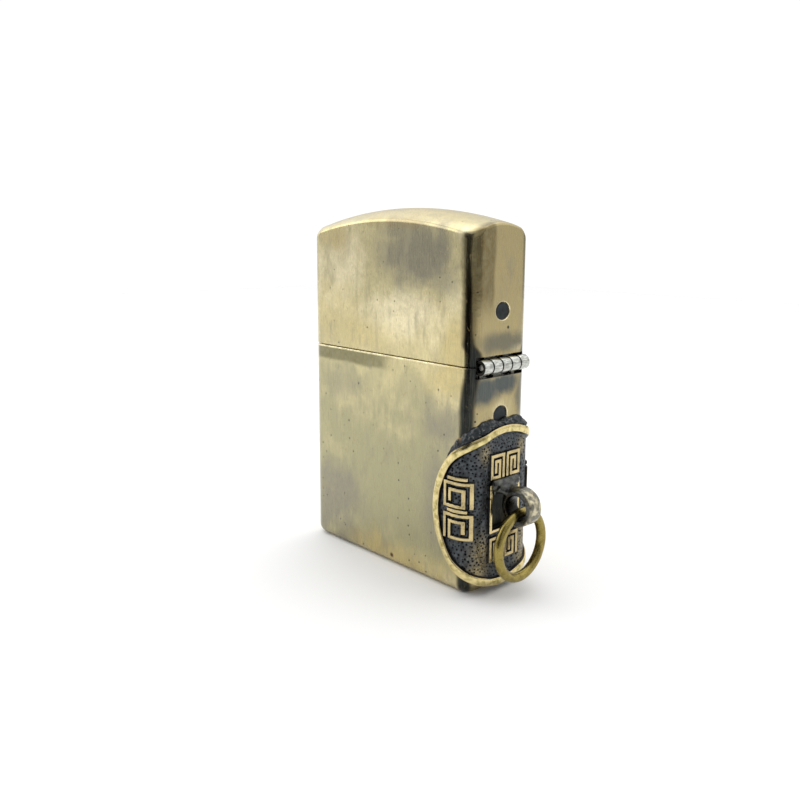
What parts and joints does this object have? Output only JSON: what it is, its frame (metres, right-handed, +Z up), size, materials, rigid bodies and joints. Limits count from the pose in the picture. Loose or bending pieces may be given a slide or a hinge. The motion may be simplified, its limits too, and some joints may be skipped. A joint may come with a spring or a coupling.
{
  "type": "lighter",
  "caption": "Pocket petrol lighter with a hinged crowned lid, a perforated chimney insert, and a coin ornament bent round its hinge side that carries a bail and a ring.",
  "frame": {"origin": "centre of the flat bottom of the case, on the surface that the lighter stands on", "axes": "+Z up, +X towards the hinge side with the ornament and ring, -Y the front face"},
  "size_m": [0.0455, 0.016, 0.0581],
  "materials": {
    "aged_brass": "satin, brushed upright, with smoky patina",
    "hinge_nickel": "worn nickel plate",
    "pin_steel": "plain",
    "dark_rivet": "blackened",
    "coin_brass": "blackened field with worn bright edges",
    "solder": "rough and black",
    "bail_metal": "dull, scratched",
    "ring_brass": "drawn wire, lightly tarnished",
    "insert_steel": "satin",
    "chimney_steel": "satin, heat-tinted at the top",
    "wheel_steel": "hardened, toothed",
    "spring_steel": "plain",
    "inner_brass": "machined",
    "flint_metal": "matte",
    "wick_cotton": "braided, charred tip",
    "packing_cotton": "fluffy",
    "felt": "pressed wool"
  },
  "bodies": {
    "case": {"case_body": "aged_brass", "hinge_leaf_case": "hinge_nickel", "hinge_pin": "pin_steel", "case_rivet": "dark_rivet", "coin_plate": "coin_brass", "solder_fillet": "solder", "bail": "bail_metal", "insert_shell": "insert_steel", "chimney": "chimney_steel", "wheel_rivet": "insert_steel", "cam_rivet": "insert_steel", "cam_spring": "spring_steel", "flint_tube": "inner_brass", "flint_spring": "spring_steel", "wick": "wick_cotton", "cotton_packing": "packing_cotton", "felt_pad": "felt"},
    "lid": {"lid": "aged_brass", "hinge_leaf_lid": "hinge_nickel", "lid_rivet": "dark_rivet"},
    "ring": {"jump_ring": "ring_brass"},
    "wheel": {"spark_wheel": "wheel_steel"},
    "cam": {"cam": "insert_steel"},
    "flint": {"flint": "flint_metal", "spring_plunger": "inner_brass"},
    "screw": {"flint_screw": "inner_brass"}
  },
  "joints": [
    {"name": "lid_hinge", "type": "hinge", "parent": "case", "child": "lid", "pos_m": [0.0192, 0, 0.0349], "axis": [0, 1, 0], "range_deg": [0, 140]},
    {"name": "ring_swing", "type": "hinge", "parent": "case", "child": "ring", "pos_m": [0.0236, 0, 0.0131], "axis": [0, -1, 0], "range_deg": [-10, 170]},
    {"name": "wheel_spin", "type": "hinge", "parent": "case", "child": "wheel", "pos_m": [-0.0122, 0, 0.0454], "axis": [0, 1, 0], "continuous": true},
    {"name": "cam_pivot", "type": "hinge", "parent": "case", "child": "cam", "pos_m": [0.0112, 0, 0.0409], "axis": [0, 1, 0], "range_deg": [0, 12], "stiffness_Nm_per_rad": 0.002, "springref_deg": -5.73, "deforming": ["cam_spring"]},
    {"name": "flint_feed", "type": "slide", "parent": "case", "child": "flint", "axis": [0, 0, 1], "range_m": [-0.0015, 0], "stiffness_N_per_m": 30, "springref_m": 0.003, "deforming": ["flint_spring"]},
    {"name": "screw_turn", "type": "hinge", "parent": "case", "child": "screw", "pos_m": [-0.0122, 0, 0.005], "axis": [0, 0, 1], "continuous": true}
  ]
}
